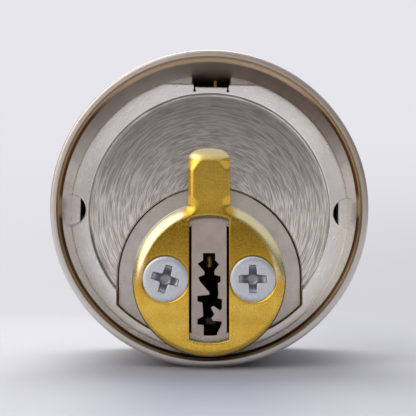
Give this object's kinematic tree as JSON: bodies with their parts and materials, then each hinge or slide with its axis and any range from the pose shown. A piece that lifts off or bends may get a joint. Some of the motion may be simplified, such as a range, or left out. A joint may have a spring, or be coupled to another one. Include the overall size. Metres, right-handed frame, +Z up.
{
  "type": "deadbolt outside cylinder",
  "caption": "Round satin collar with a pin tumbler cylinder set below its centre, a turned retaining plate and a brass cam with one finger on the plug.",
  "frame": {"origin": "centre of the collar's rim, on the collar's axis, in the plane that meets the door", "axes": "+Y through the door towards the street, +X to the right seen from the door side, +Z up, the way the cam's finger points"},
  "size_m": [0.037, 0.0398, 0.037],
  "materials": {
    "satin_nickel": "satin nickel plate, fine brushed, brass showing at worn edges",
    "turned_plate": "face turned, concentric tool marks, bright land",
    "nickel_shell": "smooth nickel plate",
    "nickel_plug": "nickel plated brass, smooth satin",
    "cam_brass": "tumbled satin brass, soft bright edges",
    "zinc_screw": "bright zinc plate",
    "pin_brass": "turned brass",
    "pin_nickel": "turned nickel silver",
    "spring_steel": "drawn wire",
    "hardened_steel": "black oxide"
  },
  "bodies": {
    "housing": {"collar": "satin_nickel", "retaining_plate": "turned_plate", "armor_sleeve": "satin_nickel", "cylinder_shell": "nickel_shell", "chamber_cover": "pin_brass", "shell_drill_pins": "hardened_steel", "pin_spring_1": "spring_steel", "pin_spring_2": "spring_steel", "pin_spring_3": "spring_steel", "pin_spring_4": "spring_steel", "pin_spring_5": "spring_steel"},
    "plug_assembly": {"plug": "nickel_plug", "plug_cap": "nickel_plug", "plug_drill_pins": "hardened_steel", "cam_washer": "nickel_shell", "cam": "cam_brass", "cam_screws": "zinc_screw"},
    "key_pin_1": {"key_pin_1": "pin_brass"},
    "key_pin_2": {"key_pin_2": "pin_brass"},
    "key_pin_3": {"key_pin_3": "pin_brass"},
    "key_pin_4": {"key_pin_4": "pin_brass"},
    "key_pin_5": {"key_pin_5": "pin_brass"},
    "driver_pin_1": {"driver_pin_1": "pin_nickel"},
    "driver_pin_2": {"driver_pin_2": "pin_nickel"},
    "driver_pin_3": {"driver_pin_3": "pin_nickel"},
    "driver_pin_4": {"driver_pin_4": "pin_nickel"},
    "driver_pin_5": {"driver_pin_5": "pin_nickel"},
    "dust_shutter": {"dust_shutter": "spring_steel"}
  },
  "joints": [
    {"name": "plug_turn", "type": "hinge", "parent": "housing", "child": "plug_assembly", "pos_m": [0, 0, -0.00845], "axis": [0, 1, 0], "continuous": true},
    {"name": "dust_shutter_swing", "type": "hinge", "parent": "plug_assembly", "child": "dust_shutter", "pos_m": [-0.00175, 0.03425, -0.00845], "axis": [0, 0, -1], "range_deg": [0, 86], "stiffness_Nm_per_rad": 0.0008, "springref_deg": -28.65},
    {"name": "key_pin_1_drop", "type": "slide", "parent": "plug_assembly", "child": "key_pin_1", "axis": [0, 0, 1], "range_m": [-0.0037, 0]},
    {"name": "key_pin_2_drop", "type": "slide", "parent": "plug_assembly", "child": "key_pin_2", "axis": [0, 0, 1], "range_m": [-0.0029, 0]},
    {"name": "key_pin_3_drop", "type": "slide", "parent": "plug_assembly", "child": "key_pin_3", "axis": [0, 0, 1], "range_m": [-0.0022, 0]},
    {"name": "key_pin_4_drop", "type": "slide", "parent": "plug_assembly", "child": "key_pin_4", "axis": [0, 0, 1], "range_m": [-0.0034, 0]},
    {"name": "key_pin_5_drop", "type": "slide", "parent": "plug_assembly", "child": "key_pin_5", "axis": [0, 0, 1], "range_m": [-0.0026, 0]},
    {"name": "driver_pin_1_lift", "type": "slide", "parent": "housing", "child": "driver_pin_1", "axis": [0, 0, 1], "range_m": [0, 0.0016], "stiffness_N_per_m": 120, "springref_m": -0.004, "deforming": ["pin_spring_1"]},
    {"name": "driver_pin_2_lift", "type": "slide", "parent": "housing", "child": "driver_pin_2", "axis": [0, 0, 1], "range_m": [0, 0.0016], "stiffness_N_per_m": 120, "springref_m": -0.004, "deforming": ["pin_spring_2"]},
    {"name": "driver_pin_3_lift", "type": "slide", "parent": "housing", "child": "driver_pin_3", "axis": [0, 0, 1], "range_m": [0, 0.0016], "stiffness_N_per_m": 120, "springref_m": -0.004, "deforming": ["pin_spring_3"]},
    {"name": "driver_pin_4_lift", "type": "slide", "parent": "housing", "child": "driver_pin_4", "axis": [0, 0, 1], "range_m": [0, 0.0016], "stiffness_N_per_m": 120, "springref_m": -0.004, "deforming": ["pin_spring_4"]},
    {"name": "driver_pin_5_lift", "type": "slide", "parent": "housing", "child": "driver_pin_5", "axis": [0, 0, 1], "range_m": [0, 0.0016], "stiffness_N_per_m": 120, "springref_m": -0.004, "deforming": ["pin_spring_5"]}
  ]
}
